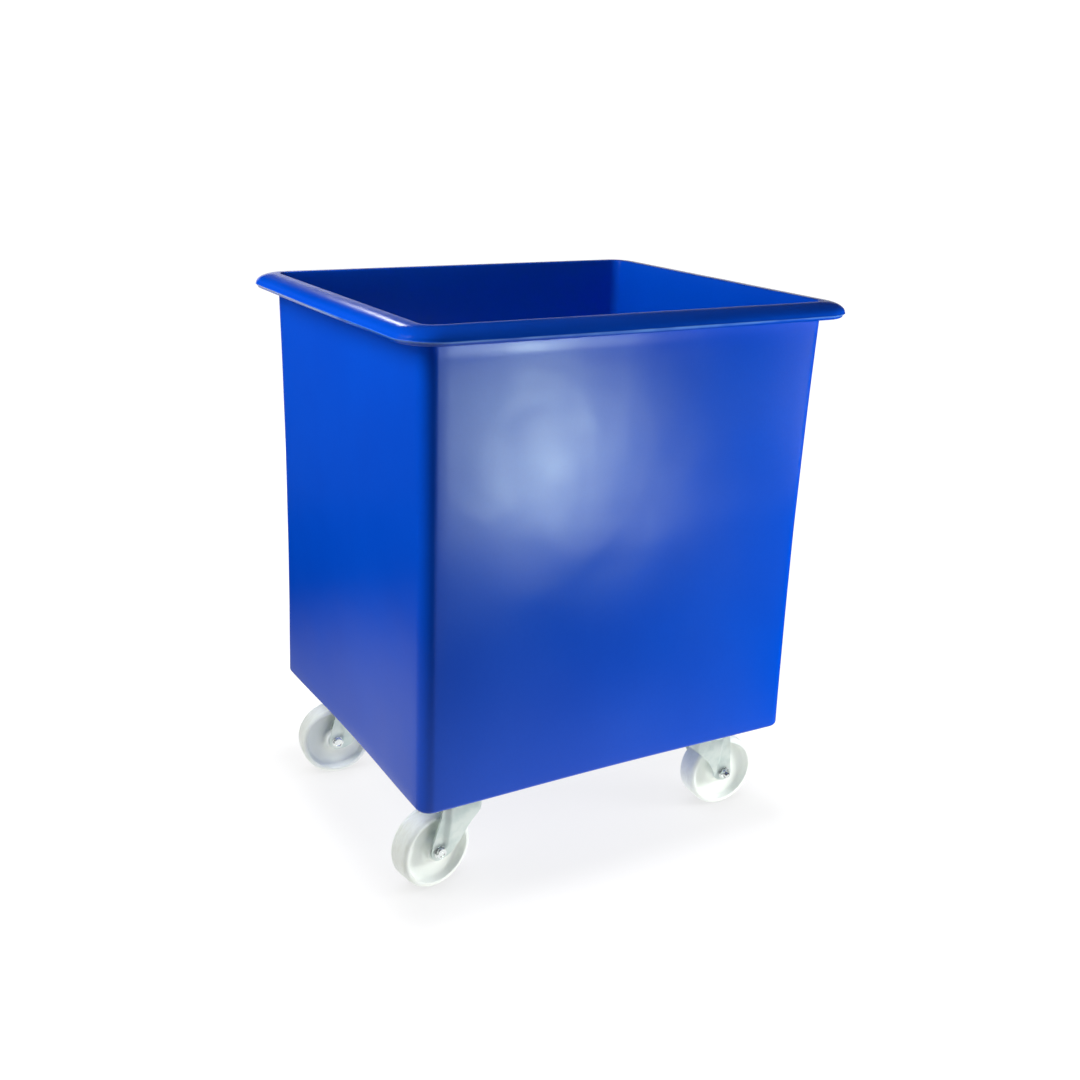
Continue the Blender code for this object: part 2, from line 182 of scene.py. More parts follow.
def hexagon(corner_radius, z, sides=48, centre=(0, 0)):
    """A hexagon drawn with many points, so that it can be lofted to circles."""
    flat = corner_radius * cos(pi / 6)
    ring = []
    for k in range(sides):
        angle = 2 * pi * k / sides
        within = (angle + pi / 6) % (pi / 3) - pi / 6
        radius = flat / cos(pi / 6 - abs(within))
        ring.append(Vector((centre[0] + radius * cos(angle), centre[1] + radius * sin(angle), z)))
    return ring


def arc(centre, radius, start, end, steps):
    """Points (a, b) on an arc, in degrees from the first axis."""
    points = []
    for k in range(steps + 1):
        angle = radians(start + (end - start) * k / steps)
        points.append((centre[0] + radius * cos(angle), centre[1] + radius * sin(angle)))
    return points


def lathe(bm, profile, sides=64, closed=False):
    loft(bm, [circle(radius, height, sides) for radius, height in profile], closed)


def lay_along_y(bm):
    """Turns what was modelled along +Z so that it runs along +Y."""
    bmesh.ops.rotate(bm, verts=bm.verts, cent=(0, 0, 0), matrix=Matrix.Rotation(-pi / 2, 3, "X"))


def smooth(value):
    value = min(max(value, 0.0), 1.0)
    return value * value * (3 - 2 * value)


def spread(start, end, count):
    return [start + (end - start) * k / count for k in range(count + 1)]


# ---------------------------------------------------------------- tub
CORNER_STEPS = 10
SIDE_STEPS = 36


def draw_in(across, up, out):
    """How far a point in from a side's end is drawn inward: walls hollow, the rim's edge full."""
    hump = (1 - across * across) ** 2
    wall = FLOOR_DRAW * (1 - smooth(up))
    rim = RIM_BULGE * smooth(out / RIM_REACH) * smooth((up - 0.9) / 0.1)
    return hump * (wall - rim)


def tub_outline(out, z):
    """The tub's outline at a height, moved outward by out, with bowed sides and round corners."""
    up = min(max((z - UNDERSIDE_Z) / (RIM_Z - UNDERSIDE_Z), 0.0), 1.0)
    bow = 4 * WALL_BOW * up * (1 - up)
    half_x = BOTTOM_X + (TOP_X - BOTTOM_X) * up - bow + out
    half_y = BOTTOM_Y + (TOP_Y - BOTTOM_Y) * up - bow + out
    radius = max(CORNER_R + out, 0.004)
    corner = (half_x - radius, half_y - radius)
    points = []
    for quarter, (sx, sy) in enumerate(((1, 1), (-1, 1), (-1, -1), (1, -1))):
        for k in range(CORNER_STEPS + 1):
            angle = radians(90 * (quarter + k / CORNER_STEPS))
            normal = Vector((cos(angle), sin(angle), 0))
            points.append((Vector((sx * corner[0], sy * corner[1], z)) + radius * normal, normal, 1.0))
        along_x = quarter % 2 == 0
        normal = Vector((0, sy, 0)) if along_x else Vector((sx, 0, 0))
        half = corner[0] if along_x else corner[1]
        for k in range(1, SIDE_STEPS):
            across = 1 - 2 * k / SIDE_STEPS
            if along_x:
                point = Vector((sx * half * across, sy * half_y, z))
            else:
                point = Vector((sx * half_x, sy * half * across, z))
            points.append((point, normal, across))
    ring = []
    for point, normal, across in points:
        wave = noise.noise(point * 7) + 0.5 * noise.noise(point * 17)
        fade = smooth(up / 0.1) * smooth((1 - up) / 0.04)
        ring.append(point - normal * draw_in(across, up, out) + normal * RIPPLE * wave * fade)
    return ring


def rim_profile():
    """(distance out from the wall, height over the rim's underside), from below round to the inside."""
    nose_x, nose_up = RIM_REACH - 0.0006, 0.0056
    crest_x, crest_up = 0.0016, RIM_HEIGHT
    points = [(0.0, -0.0035), (0.0006, -0.0012), (0.0026, 0.0), (0.0120, -0.0002), (0.0215, 0.0)]
    points += arc((0.0238, 0.0030), 0.0030, -80, -22, 5)
    points += [(nose_x - 0.0006, 0.0040), (nose_x, 0.0046), (RIM_REACH, 0.0051), (nose_x, nose_up)]
    for k in range(1, 15):
        angle = pi / 2 * k / 15
        out = crest_x + (nose_x - crest_x) * cos(angle) ** 0.92
        points.append((out, nose_up + (crest_up - nose_up) * sin(angle)))
    points += arc((crest_x - 0.0026, crest_up - 0.0028), 0.0028, 84, 174, 7)
    return points


def build_tub(bm):
    rings = [tub_outline(-0.10, UNDERSIDE_Z), tub_outline(-0.03, UNDERSIDE_Z)]
    for out, up in arc((-EDGE_R, EDGE_R), EDGE_R, -90, 0, 6):
        rings.append(tub_outline(out, UNDERSIDE_Z + up))
    low = UNDERSIDE_Z + EDGE_R
    rings += [tub_outline(0.0, z) for z in spread(low, RIM_Z - 0.0035, 34)[1:-1]]
    rings += [tub_outline(out, RIM_Z + up) for out, up in rim_profile()]
    low = FLOOR_TOP + EDGE_R
    rings += [tub_outline(-WALL, z) for z in spread(RIM_Z + 0.006, low, 26)[:-1]]
    for out, up in arc((-WALL - EDGE_R, EDGE_R), EDGE_R, 0, -90, 6):
        rings.append(tub_outline(out, FLOOR_TOP + up))
    rings += [tub_outline(-0.03, FLOOR_TOP), tub_outline(-0.10, FLOOR_TOP)]
    loft(bm, rings)


# ---------------------------------------------------------------- castor pieces fixed to the tub
def build_plate(bm):
    """The top plate, with round corners and eased edges."""
    half_x = (PLATE_HIGH.x - PLATE_LOW.x) / 2
    half_y = (PLATE_HIGH.y - PLATE_LOW.y) / 2
    corner, ease = 0.010, 0.0006
    rings = []
    heights = (PLATE_BOTTOM, PLATE_BOTTOM + ease, PLATE_HIGH.z - ease, PLATE_HIGH.z)
    for inset, z in zip((ease, 0, 0, ease), heights):
        ring = []
        for quarter, (sx, sy) in enumerate(((1, 1), (-1, 1), (-1, -1), (1, -1))):
            for k in range(9):
                angle = radians(90 * (quarter + k / 8))
                x = sx * (half_x - corner) + (corner - inset) * cos(angle)
                y = sy * (half_y - corner) + (corner - inset) * sin(angle)
                ring.append(Vector((x, y, z)))
        rings.append(ring)
    loft(bm, rings)


def build_upper_race(bm):
    """The upper raceway, pressed down out of the plate."""
    low = RACE_TOP_Z + 2 * GAP + 2 * BALL_R
    lip = 0.0025
    profile = [(0.020, low), (BALL_RING_R - 0.001, low + 0.0006), (RACE_R - lip, low)]
    profile += arc((RACE_R - lip, low + lip), lip, -75, 0, 6)
    profile += [(RACE_R, PLATE_BOTTOM - 0.0010), (RACE_R + 0.0012, PLATE_BOTTOM + 0.0005)]
    profile += [(0.020, PLATE_BOTTOM + 0.0005)]
    lathe(bm, profile, closed=True)


def build_kingpin_hole(bm):
    loft(bm, [circle(KINGPIN_R + GAP, z, 48) for z in (CROWN_Z - 0.01, FLOOR_TOP + 0.01)])


def build_kingpin(bm):
    """The riveted kingpin: a domed head under the crown and a plain shank."""
    head_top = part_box("front_left_lower_cup")[0].z - GAP
    head_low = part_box("front_left_kingpin")[0].z
    profile = [(0.0015, head_low - 0.0002), (0.0050, head_low), (0.0085, head_low + 0.0010)]
    profile += [(0.0102, head_low + 0.0024), (0.0105, head_top - 0.0006), (0.0101, head_top)]
    profile += [(KINGPIN_R, head_top), (KINGPIN_R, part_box("front_left_kingpin")[1].z)]
    lathe(bm, profile)


def build_lower_cup(bm):
    low, high = (corner.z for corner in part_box("front_left_lower_cup"))
    bore = KINGPIN_R + GAP
    profile = [(bore, low), (0.0125, low), (0.0140, low + 0.0004), (0.0165, low + 0.0002)]
    profile += arc((0.0172, low + 0.0024), 0.0023, -70, 0, 5) + [(0.0195, high), (bore, high)]
    lathe(bm, profile, closed=True)


def build_plate_bolt(bm):
    """A cup-head bolt seen inside the tub, with its washer, nut and thread end under the plate."""
    nut_top = PLATE_BOTTOM - GAP
    nut_low = nut_top - 0.0065
    seat = FLOOR_TOP + GAP
    rings = [circle(0.0028, nut_low - 0.0020, 48), circle(0.0037, nut_low - 0.0012, 48)]
    rings += [circle(0.0037, nut_low + 0.0004, 48), circle(0.0062, nut_low, 48)]
    rings += [hexagon(HEX_R, nut_low + 0.0008), hexagon(HEX_R, nut_top - 0.0022)]
    rings += [circle(0.0064, nut_top - 0.0014, 48), circle(0.0082, nut_top - 0.0013, 48)]
    rings += [circle(0.0084, nut_top - 0.0002, 48), circle(0.0082, nut_top, 48)]
    rings += [circle(BOLT_R - 0.0002, nut_top, 48), circle(BOLT_R - 0.0002, seat, 48)]
    rings += [circle(0.0100, seat, 48), circle(0.0105, seat + 0.0004, 48)]
    rings += [circle(radius, seat + up, 48) for radius, up in arc((0, -0.0092), 0.0136, 45, 84, 7)]
    loft(bm, rings)


# ---------------------------------------------------------------- castor pieces that swivel
LEG_SPLAY = 0.006  # how much wider the fork is at the crown, each side
LEG_FLARE = 0.005  # extra width of the gusset, each side
FRONT_BIAS = 0.17  # the leg on the bolt-head side reaches further forward than the other
FRONT_REACH = 0.0198  # of the leg's front edge, ahead of the axle and level with it
HIGHEST_REACH = 0.0655  # of the same edge, where it meets the swivel head
BACK_LEAN = 0.060
STEP_AHEAD = 0.0068  # of the axle, where the sheet starts to step outward
STEP_BIAS = 0.0028  # how much further back that is on the bolt-head side, and forward on the other
STEP_RUN = 0.0050
BOSS_LOW = -0.0119


def front_edge(height, side):
    """How far ahead of the axle the leg's front edge lies, at a height over the axle."""
    if height < 0:
        reach = FRONT_REACH * (1 - (height / BOSS_R) ** 2) ** 0.7
    else:
        reach = min(FRONT_REACH + 0.48 * height + 1.2 * height**2 + 90 * height**3, HIGHEST_REACH)
    bias = FRONT_BIAS * (1 - smooth((height + BOSS_R) / 0.060))
    return reach * (1 + side * bias)


def back_edge(height):
    if height < 0:
        return sqrt(max(BOSS_R**2 - height**2, 0.0))
    return BOSS_R * (1 - height / BACK_LEAN)


def leg_y(x, z, side):
    """Distance of the sheet's middle from the wheel's plane: flat boss, straight strip, flared gusset."""
    ahead = TRAIL - x
    height = z - AXLE_Z
    out = LEG_Y + LEG_SPLAY * smooth((height - 0.004) / 0.050)
    rise = smooth((height + 0.004) / 0.014)
    step = min(max((ahead - STEP_AHEAD + side * STEP_BIAS) / STEP_RUN, 0.0), 1.0)
    out += LEG_FLARE * step * rise
    ridge = 1 - min(1.0, (abs(ahead - 0.001) / 0.0045) ** 4 + (abs(height - 0.0125) / 0.0016) ** 4)
    out += 0.0007 * max(ridge, 0.0)
    if x < 0:
        out = min(out, sqrt(max((HEAD_R - SHEET / 2) ** 2 - x * x, 0.0)))
    return out


def build_leg(bm, side):
    """One leg as a folded sheet: from the boss up, and over a small bend on to the crown."""
    bend = 0.0030
    across = 40
    top = CROWN_Z + CROWN_THICK / 2 - AXLE_Z
    heights = [BOSS_LOW * cos(pi / 2 * k / 7) for k in range(7)] + spread(0.0, top - bend, 22)
    bends = [90 * k / 5 for k in range(1, 6)]
    skins = []
    for face in (-1, 1):
        grid = []
        for height in heights:
            start, end = TRAIL - front_edge(height, side), TRAIL + back_edge(height)
            row = []
            for x in spread(start, end, across):
                z = AXLE_Z + height
                row.append(Vector((x, side * (leg_y(x, z, side) + face * SHEET / 2), z)))
            grid.append(row)
        edge = grid[-1]
        for degrees in bends:
            angle = radians(degrees)
            radius = bend + face * SHEET / 2
            row = []
            for point in edge:
                y = abs(point.y) - radius + radius * cos(angle)
                row.append(Vector((point.x, side * y, AXLE_Z + top - bend + radius * sin(angle))))
            grid.append(row)
        grid.append([Vector((point.x, point.y - side * 0.006, point.z)) for point in grid[-1]])
        skins.append([[bm.verts.new(point) for point in row] for row in grid])
    inner, outer = skins
    rows, columns = len(inner), across + 1
    for grid in skins:
        for low, high in zip(grid, grid[1:]):
            for k in range(columns - 1):
                bm.faces.new((low[k], low[k + 1], high[k + 1], high[k]))
    for row in (0, -1):
        for k in range(columns - 1):
            bm.faces.new((inner[row][k], inner[row][k + 1], outer[row][k + 1], outer[row][k]))
    for k in (0, -1):
        for row in range(rows - 1):
            bm.faces.new((inner[row][k], inner[row + 1][k], outer[row + 1][k], outer[row][k]))


def build_legs(bm):
    for side in (-1, 1):
        build_leg(bm, side)


def build_crown(bm):
    """The crown plate: round about the kingpin, and straight back to the legs' rear edge."""
    half = LEG_Y + LEG_SPLAY - 0.003
    radius = HEAD_R - 0.001
    turn = asin(half / radius)
    outline = [(TRAIL - 0.004, -half), (TRAIL - 0.004, half)]
    for k in range(41):
        angle = turn + (2 * pi - 2 * turn) * k / 40
        outline.append((radius * cos(angle), radius * sin(angle)))
    loft(bm, [[Vector((x, y, z)) for x, y in outline] for z in (CROWN_Z, CROWN_Z + CROWN_THICK)])


def build_race_head(bm):
    """The raised head on the crown, with a rounded shoulder and a track for the balls."""
    shoulder = 0.0035
    foot = HEAD_R - 0.0004
    profile = [(0.020, CROWN_Z + 0.001), (foot, CROWN_Z + 0.001), (foot, CROWN_Z + 0.0035)]
    profile += [(RACE_R + 0.0004, CROWN_Z + 0.0060), (RACE_R, RACE_TOP_Z - shoulder)]
    profile += arc((RACE_R - shoulder, RACE_TOP_Z - shoulder), shoulder, 15, 90, 6)
    profile += [(BALL_RING_R + 0.0022, RACE_TOP_Z - 0.0001), (BALL_RING_R, RACE_TOP_Z - 0.0006)]
    profile += [(BALL_RING_R - 0.0022, RACE_TOP_Z), (0.020, RACE_TOP_Z)]
    lathe(bm, profile, closed=True)


def build_axle_hole(bm):
    reach = LEG_Y + 0.01
    loft(bm, [circle(BOLT_R, z, 48) for z in (-reach, reach)])
    lay_along_y(bm)
    bmesh.ops.translate(bm, verts=bm.verts, vec=(TRAIL, 0, AXLE_Z))


def build_balls(bm):
    """The ring of loose balls between the fork's race and the plate's."""
    count = 32
    middle = RACE_TOP_Z + GAP + BALL_R
    for k in range(count):
        angle = 2 * pi * k / count
        centre = Vector((BALL_RING_R * cos(angle), BALL_RING_R * sin(angle), middle))
        bmesh.ops.create_icosphere(bm, subdivisions=2, radius=BALL_R, matrix=Matrix.Translation(centre))


def build_axle_bolt(bm):
    """The bolt along +Y: chamfered head on the +Y leg, thread end past the nut."""
    seat = LEG_Y + SHEET / 2 + GAP
    end = -(seat + 0.0065 + 0.0045)
    pitch = 0.00125
    rings = [circle(0.0026, end, 48), circle(0.0036, end + 0.0010, 48)]
    for k in range(6):
        start = end + 0.0012 + k * pitch
        rings += [circle(0.0033, start, 48), circle(0.0038, start + pitch / 2, 48)]
    rings += [circle(BOLT_R - 0.0002, end + 0.010, 48), circle(BOLT_R - 0.0002, seat, 48)]
    rings += [circle(0.0081, seat, 48), circle(0.0081, seat + 0.0006, 48), circle(0.0066, seat + 0.0008, 48)]
    rings += [hexagon(HEX_R, seat + 0.0009), hexagon(HEX_R, seat + 0.0043), circle(0.0061, seat + 0.0051, 48)]
    rings += [circle(0.0044, seat + 0.0050, 48), circle(0.0036, seat + 0.0045, 48)]
    loft(bm, rings)
    lay_along_y(bm)


def build_axle_nut(bm):
    """A locking nut with its collar, on a washer."""
    seat = LEG_Y + SHEET / 2 + GAP
    bore = BOLT_R + GAP
    rings = [circle(bore, -seat, 48), circle(bore, -seat - 0.0064, 48), circle(0.0050, -seat - 0.0070, 48)]
    rings += [circle(0.0059, -seat - 0.0068, 48), circle(0.0062, -seat - 0.0058, 48)]
    rings += [hexagon(HEX_R, -seat - 0.0048), hexagon(HEX_R, -seat - 0.0016), circle(0.0065, -seat - 0.0012, 48)]
    rings += [circle(0.0086, -seat - 0.0012, 48), circle(0.0086, -seat, 48)]
    loft(bm, rings, closed=True)
    lay_along_y(bm)


def build_sleeve(bm):
    half = LEG_Y - SHEET / 2 - GAP
    bore, outside, ease = BOLT_R + GAP, 0.0063, 0.0004
    profile = [(bore, -half), (outside - ease, -half), (outside, -half + ease), (outside, half - ease)]
    profile += [(outside - ease, half), (bore, half)]
    lathe(bm, profile, 48, closed=True)
    lay_along_y(bm)


# ---------------------------------------------------------------- wheel
WHEEL_HALF = 0.0158
PARTING_Y = -0.0075


def build_wheel(bm):
    """Cast nylon wheel: crowned tread with a parting line, full shoulders, dished web and turned hub."""
    hub_half = LEG_Y - SHEET / 2 - 2 * GAP
    bore = 0.0092 + GAP
    shoulder = arc((0.0447, WHEEL_HALF - 0.0053), 0.0053, 0, 108, 10)
    dish = [(0.0412, 0.0092), (0.0404, 0.0076), (0.0396, 0.0068), (0.0375, 0.0061), (0.0330, 0.0054)]
    dish += [(0.0270, 0.0050), (0.0215, 0.0053), (0.0180, 0.0070), (0.0160, 0.0100), (0.0148, 0.0140)]
    hub = [(0.0143, hub_half - 0.0006), (0.0137, hub_half), (bore + 0.0006, hub_half), (bore, hub_half - 0.0006)]
    tread = [(0.0500, 0.0090), (0.0501, 0.0050), (0.0501, 0.0)]
    near = tread[::-1] + shoulder + dish + hub
    far = [(radius, -y) for radius, y in hub[::-1] + dish[::-1] + shoulder[::-1]]
    far += [(0.0500, -0.0090), (0.0500, PARTING_Y - 0.0004), (0.0498, PARTING_Y)]
    far += [(0.0501, PARTING_Y + 0.0004), (0.0501, -0.0040)]
    scale = WHEEL_R / 0.0501
    lathe(bm, [(radius * scale if radius > 0.048 else radius, y) for radius, y in near + far], 128, closed=True)
    lay_along_y(bm)


def build_bearing(bm):
    """Roller cage seen in the hub's bore: a ribbed ring round the sleeve."""
    half = LEG_Y - SHEET / 2 - GAP - 0.001
    bore, outside = 0.0066, 0.0092
    profile = [(bore, -half), (outside - 0.0004, -half), (outside, -half + 0.0004)]
    for y in (-0.010, 0.0, 0.010):
        profile += [(outside, y - 0.0045), (outside - 0.0005, y - 0.0040)]
        profile += [(outside - 0.0005, y + 0.0040), (outside, y + 0.0045)]
    profile += [(outside, half - 0.0004), (outside - 0.0004, half), (bore, half)]
    lathe(bm, profile, 48, closed=True)
    lay_along_y(bm)


# ---------------------------------------------------------------- material helpers
def new_look(name):
    look = bpy.data.materials.new(name)
    look.use_nodes = True
    return look


def node(look, kind, inputs=(), **settings):
    """Adds a node; each input is a value, or another node's output to link."""
    made = look.node_tree.nodes.new(kind)
    for name, value in settings.items():
        setattr(made, name, value)
    for socket, value in dict(inputs).items():
        feed(look, made.inputs[socket], value)
    return made


def feed(look, socket, value):
    if isinstance(value, bpy.types.NodeSocket):
        look.node_tree.links.new(value, socket)
    else:
        socket.default_value = value


def dress(look, **sockets):
    """Sets the shader's sockets: an underscore in a name stands for a space."""
    shader = look.node_tree.nodes["Principled BSDF"]
    for name, value in sockets.items():
        feed(look, shader.inputs[name.replace("_", " ")], value)


def place_of(look):
    return node(look, "ShaderNodeTexCoord").outputs["Object"]


def grain(look, scale, detail=2.0, stretch=(1, 1, 1)):
    """Smooth noise from 0 to 1, with about scale lumps to the metre."""
    spot = node(look, "ShaderNodeMapping", {"Vector": place_of(look), "Scale": stretch})
    inputs = {"Vector": spot.outputs["Vector"], "Scale": scale, "Detail": detail}
    return node(look, "ShaderNodeTexNoise", inputs).outputs["Fac"]


def ranged(look, value, start, end, low=0.0, high=1.0):
    """Takes start to end smoothly on to low to high."""
    inputs = {"Value": value, "From Min": start, "From Max": end, "To Min": low, "To Max": high}
    return node(look, "ShaderNodeMapRange", inputs, interpolation_type="SMOOTHSTEP").outputs["Result"]


def maths(look, operation, first, second=0.0):
    return node(look, "ShaderNodeMath", {0: first, 1: second}, operation=operation).outputs["Value"]


def blended(look, factor, first, second):
    mixer = node(look, "ShaderNodeMix", data_type="RGBA")
    feed(look, mixer.inputs[0], factor)
    for socket, colour in ((mixer.inputs[6], first), (mixer.inputs[7], second)):
        feed(look, socket, colour if isinstance(colour, bpy.types.NodeSocket) else (*colour, 1))
    return mixer.outputs[2]


def bumped(look, layers):
    """A normal from (height field, depth in metres) layers."""
    normal = None
    for height, depth in layers:
        inputs = {"Height": height, "Distance": depth, "Strength": 1.0}
        if normal:
            inputs["Normal"] = normal
        normal = node(look, "ShaderNodeBump", inputs).outputs["Normal"]
    return normal


def reach_from(look, axis):
    """Distance from the object's own axis, Y or Z."""
    keep = {"Y": (1, 0, 1), "Z": (1, 1, 0)}[axis]
    flat = node(look, "ShaderNodeVectorMath", {0: place_of(look), 1: keep}, operation="MULTIPLY")
    return node(look, "ShaderNodeVectorMath", {0: flat.outputs["Vector"]}, operation="LENGTH").outputs["Value"]


# ---------------------------------------------------------------- materials
def out_from_wall(look):
    """Distance of a point out from the tub's wall, round its corners too."""
    straight = (TOP_X - CORNER_R, TOP_Y - CORNER_R, 0)
    spot = node(look, "ShaderNodeVectorMath", {0: place_of(look)}, operation="ABSOLUTE")
    spot = node(look, "ShaderNodeVectorMath", {0: spot.outputs["Vector"], 1: straight}, operation="SUBTRACT")
    spot = node(look, "ShaderNodeVectorMath", {0: spot.outputs["Vector"], 1: (0, 0, 0)}, operation="MAXIMUM")
    spot = node(look, "ShaderNodeVectorMath", {0: spot.outputs["Vector"], 1: (1, 1, 0)}, operation="MULTIPLY")
    reach = node(look, "ShaderNodeVectorMath", {0: spot.outputs["Vector"]}, operation="LENGTH")
    return maths(look, "SUBTRACT", reach.outputs["Value"], CORNER_R)


def polyethylene_look():
    """Royal blue rotomoulded polyethylene: soft gloss, faint mottling, and a painted highlight along the rim's
    lower nose.
    """
    look = new_look("rotomoulded_polyethylene")
    clouds = ranged(look, grain(look, 4.0, 3.0), 0.3, 0.7)
    colour = blended(look, clouds, (0.0004, 0.072, 0.62), (0.0004, 0.081, 0.67))
    mottle = ranged(look, grain(look, 260.0, 3.0), 0.35, 0.65)
    colour = blended(look, maths(look, "MULTIPLY", mottle, 0.10), colour, (0.0004, 0.058, 0.54))
    edge = ranged(look, out_from_wall(look), RIM_REACH - 0.0026, RIM_REACH - 0.0008)
    lip = ranged(look, node(look, "ShaderNodeSeparateXYZ", {0: place_of(look)}).outputs["Z"], *LIP_HEIGHTS)
    highlight_breaks = ranged(look, grain(look, 18.0, 2.0), 0.30, 0.60, 0.35, 1.0)
    painted_nose_highlight = maths(look, "MULTIPLY", maths(look, "MULTIPLY", edge, lip), maths(look, "MULTIPLY", highlight_breaks, 0.8))
    # painted highlight: the rim's lower nose is painted pale blue where it would catch low light, broken up by
    # noise
    colour = blended(look, painted_nose_highlight, colour, (0.16, 0.40, 0.95))
    patches = ranged(look, grain(look, 9.0, 4.0), 0.3, 0.7, 0.19, 0.25)
    on_rim = ranged(look, out_from_wall(look), 0.0005, 0.0040, 0.0, 0.05)
    ripples = (grain(look, 22.0, 1.0), 0.00030)
    peel = (grain(look, 320.0, 2.0), 0.00004)
    scratches = (grain(look, 160.0, 4.0, (1, 1, 0.08)), 0.00003)
    normal = bumped(look, [ripples, peel, scratches])
    dress(look, Base_Color=colour, Roughness=maths(look, "SUBTRACT", patches, on_rim), Normal=normal)
    dress(look, IOR=1.5, Specular_IOR_Level=0.5)
    return look


def nylon_look():
    """Natural white nylon with turning marks on the faces and a faint brownish band over the tread, broken up by
    noise.
    """
    look = new_look("white_nylon")
    radius = reach_from(look, "Y")
    clouds = ranged(look, grain(look, 30.0, 3.0), 0.3, 0.7)
    colour = blended(look, clouds, (0.89, 0.95, 0.89), (0.91, 0.96, 0.90))
    # a faint brownish band over the tread, broken up by noise
    tread = ranged(look, radius, WHEEL_R - 0.0030, WHEEL_R - 0.0008)
    tread_patches = ranged(look, grain(look, 90.0, 4.0, (1, 3, 1)), 0.44, 0.62)
    brown_tread_band = maths(look, "MULTIPLY", maths(look, "MULTIPLY", tread, tread_patches), 0.12)
    colour = blended(look, brown_tread_band, colour, (0.55, 0.52, 0.42))
    rings = node(look, "ShaderNodeTexNoise", {"W": maths(look, "MULTIPLY", radius, 1600.0)}, noise_dimensions="1D")
    turned = (rings.outputs["Fac"], 0.00005)
    cast = (grain(look, 120.0, 2.0), 0.00010)
    rough = ranged(look, grain(look, 60.0, 3.0), 0.3, 0.7, 0.30, 0.42)
    dress(look, Base_Color=colour, Roughness=rough, Normal=bumped(look, [turned, cast]))
    dress(look, Subsurface_Weight=0.25, Subsurface_Radius=(1.0, 1.0, 0.9), Subsurface_Scale=0.003)
    return look


def zinc_look():
    """Bright zinc plate on pressed steel: pale, slightly green, clouded and finely scratched."""
    look = new_look("zinc_plated_pressing")
    clouds = ranged(look, grain(look, 55.0, 4.0), 0.35, 0.65)
    colour = blended(look, clouds, (0.61, 0.70, 0.67), (0.73, 0.80, 0.76))
    stains = ranged(look, grain(look, 24.0, 3.0), 0.55, 0.72)
    colour = blended(look, maths(look, "MULTIPLY", stains, 0.5), colour, (0.64, 0.63, 0.52))
    rough = ranged(look, grain(look, 140.0, 3.0), 0.3, 0.7, 0.30, 0.48)
    pressed = (grain(look, 90.0, 2.0), 0.00012)
    rolled = (grain(look, 700.0, 2.0, (1, 1, 0.06)), 0.00002)
    dress(look, Base_Color=colour, Roughness=rough, Metallic=0.5, Normal=bumped(look, [pressed, rolled]))
    return look


def steel_look():
    """Bright plated bolts, nuts, sleeves and balls."""
    look = new_look("bright_fastener_steel")
    clouds = ranged(look, grain(look, 160.0, 3.0), 0.35, 0.65)
    colour = blended(look, clouds, (0.84, 0.88, 0.88), (0.90, 0.93, 0.92))
    rough = ranged(look, grain(look, 420.0, 3.0), 0.3, 0.7, 0.16, 0.26)
    marks = (grain(look, 240.0, 2.0), 0.00002)
    dress(look, Base_Color=colour, Roughness=rough, Metallic=0.85, Normal=bumped(look, [marks]))
    return look


def cage_look():
    """Oiled beige plastic of the roller cages."""
    look = new_look("roller_cage_plastic")
    clouds = ranged(look, grain(look, 200.0, 3.0), 0.35, 0.65)
    colour = blended(look, clouds, (0.40, 0.37, 0.28), (0.52, 0.49, 0.39))
    rough = ranged(look, grain(look, 300.0, 2.0), 0.3, 0.7, 0.35, 0.55)
    dress(look, Base_Color=colour, Roughness=rough, Normal=bumped(look, [(grain(look, 500.0), 0.00003)]))
    return look


# ---------------------------------------------------------------- assembly
looks = {
    "tub": polyethylene_look(),
    "nylon": nylon_look(),
    "zinc": zinc_look(),
    "fastener_steel": steel_look(),
    "bearing_cage": cage_look(),
}


def castor_meshes():
    hole = (build_kingpin_hole,)
    fork_parts = (build_crown, build_race_head, build_legs)
    return {
        "top_plate": united_mesh("top_plate", (build_plate, build_upper_race), hole),
        "kingpin": new_mesh("kingpin", build_kingpin),
        "lower_cup": new_mesh("lower_cup", build_lower_cup),
        "plate_bolt": new_mesh("plate_bolt", build_plate_bolt, 30),
        "fork": united_mesh("fork", fork_parts, (*hole, build_axle_hole), 35),
        "ball_race": new_mesh("ball_race", build_balls, 180),
        "axle_bolt": new_mesh("axle_bolt", build_axle_bolt, 30),
        "axle_nut": new_mesh("axle_nut", build_axle_nut, 30),
        "axle_sleeve": new_mesh("axle_sleeve", build_sleeve),
        "wheel": new_mesh("wheel", build_wheel, 50),
        "roller_bearing": new_mesh("roller_bearing", build_bearing),
    }


# part of a castor: (piece name, material slot)
FIXED_PARTS = {
    "top_plate": ("plate_pressing", "zinc"),
    "kingpin": ("kingpin_rivet", "zinc"),
    "lower_cup": ("dust_ring", "zinc"),
}
SWIVEL_PARTS = {
    "fork": ("fork_pressing", "zinc"),
    "ball_race": ("race_balls", "fastener_steel"),
}
AXLE_PARTS = {
    "axle_bolt": ("axle_hex_bolt", "fastener_steel"),
    "axle_nut": ("axle_lock_nut", "fastener_steel"),
    "axle_sleeve": ("axle_tube", "fastener_steel"),
}
WHEEL_PARTS = {
    "wheel": ("nylon_wheel", "nylon"),
    "roller_bearing": ("roller_cage", "bearing_cage"),
}


def add_parts(castor, parts, meshes, body, place):
    for part, (piece, slot) in parts.items():
        add_piece(f"{castor}_{piece}", meshes[part], looks[slot], body, f"{castor}_{part}", place)


